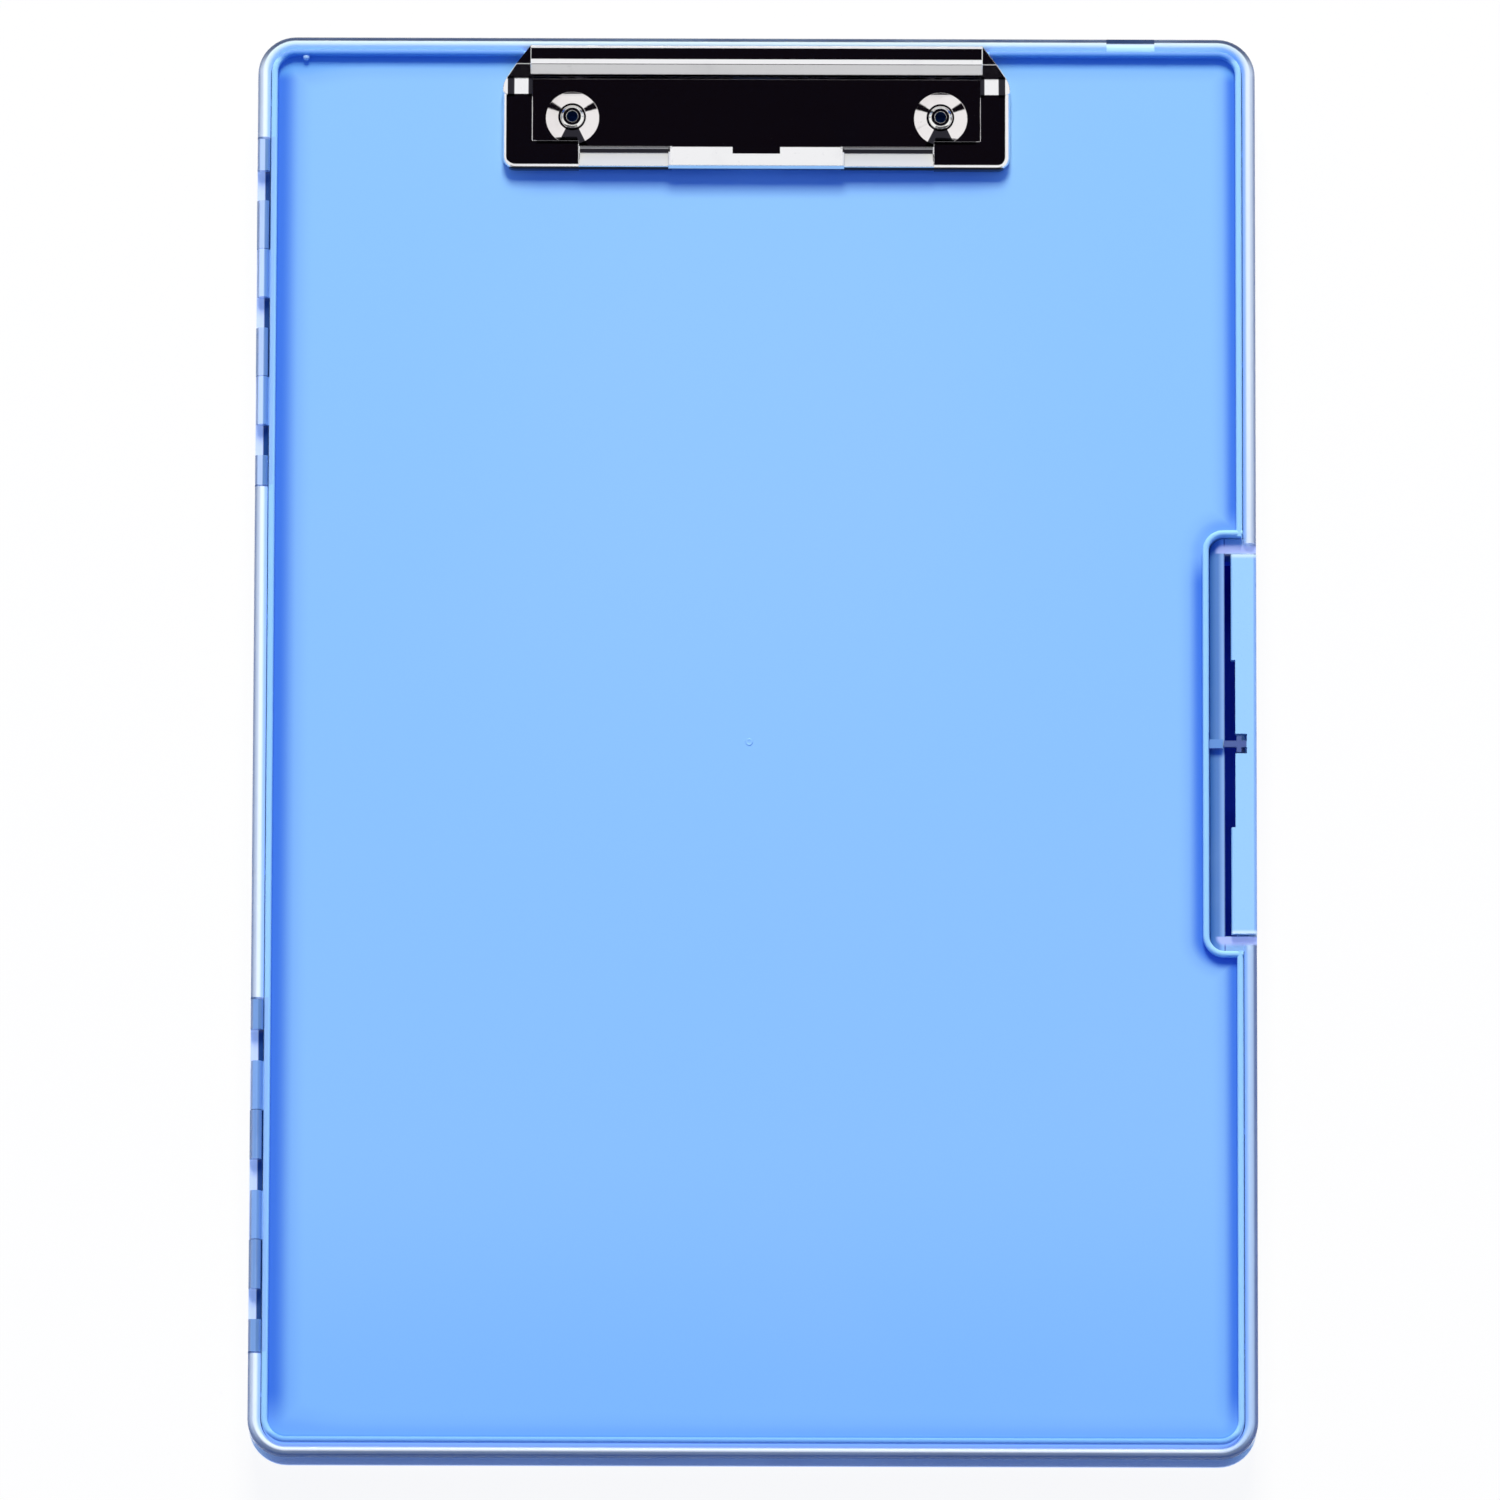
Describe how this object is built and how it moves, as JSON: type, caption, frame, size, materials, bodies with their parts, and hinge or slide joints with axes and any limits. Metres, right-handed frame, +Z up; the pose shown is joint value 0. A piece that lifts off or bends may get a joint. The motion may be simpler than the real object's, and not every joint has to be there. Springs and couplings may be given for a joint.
{
  "type": "storage clipboard box",
  "caption": "Slim clear-rimmed storage box whose lid is a clipboard, with a low steel clip, a side hinge and a side latch.",
  "frame": {"origin": "middle of the underside", "axes": "+X across the board towards the latch, +Y along the board towards the clip, +Z up out of the writing surface"},
  "size_m": [0.2362, 0.3394, 0.022],
  "materials": {
    "clear_blue_plastic": "clear moulded polystyrene with a light blue tint",
    "sky_blue_plastic": "fine satin moulded plastic, sky blue",
    "pale_blue_plastic": "satin moulded plastic, pale blue",
    "clip_chrome": "bright plated sheet steel",
    "rod_steel": "drawn steel wire",
    "spring_steel": "plain spring wire",
    "rivet_nickel": "nickel-plated steel"
  },
  "bodies": {
    "tray": {"base_tray": "clear_blue_plastic"},
    "lid": {"lid_panel": "sky_blue_plastic", "clip_base_plate": "clip_chrome", "clip_pivot_rod": "rod_steel", "rivet_left": "rivet_nickel", "rivet_right": "rivet_nickel", "rivet_washer_left": "rivet_nickel", "rivet_washer_right": "rivet_nickel"},
    "jaw": {"clip_jaw": "clip_chrome", "clip_spring_left": "spring_steel", "clip_spring_right": "spring_steel"},
    "latch": {"side_latch": "pale_blue_plastic"}
  },
  "joints": [
    {"name": "lid_hinge", "type": "hinge", "parent": "tray", "child": "lid", "pos_m": [-0.1166, 0, 0.0155], "axis": [0, -1, 0], "range_deg": [0, 180]},
    {"name": "clip_hinge", "type": "hinge", "parent": "lid", "child": "jaw", "pos_m": [0, 0.16395, 0.0189], "axis": [-1, 0, 0], "range_deg": [0, 55], "stiffness_Nm_per_rad": 0.6, "springref_deg": -24.06},
    {"name": "latch_hinge", "type": "hinge", "parent": "tray", "child": "latch", "pos_m": [0.1159, 0, 0.0033], "axis": [0, 1, 0], "range_deg": [0, 80]}
  ]
}
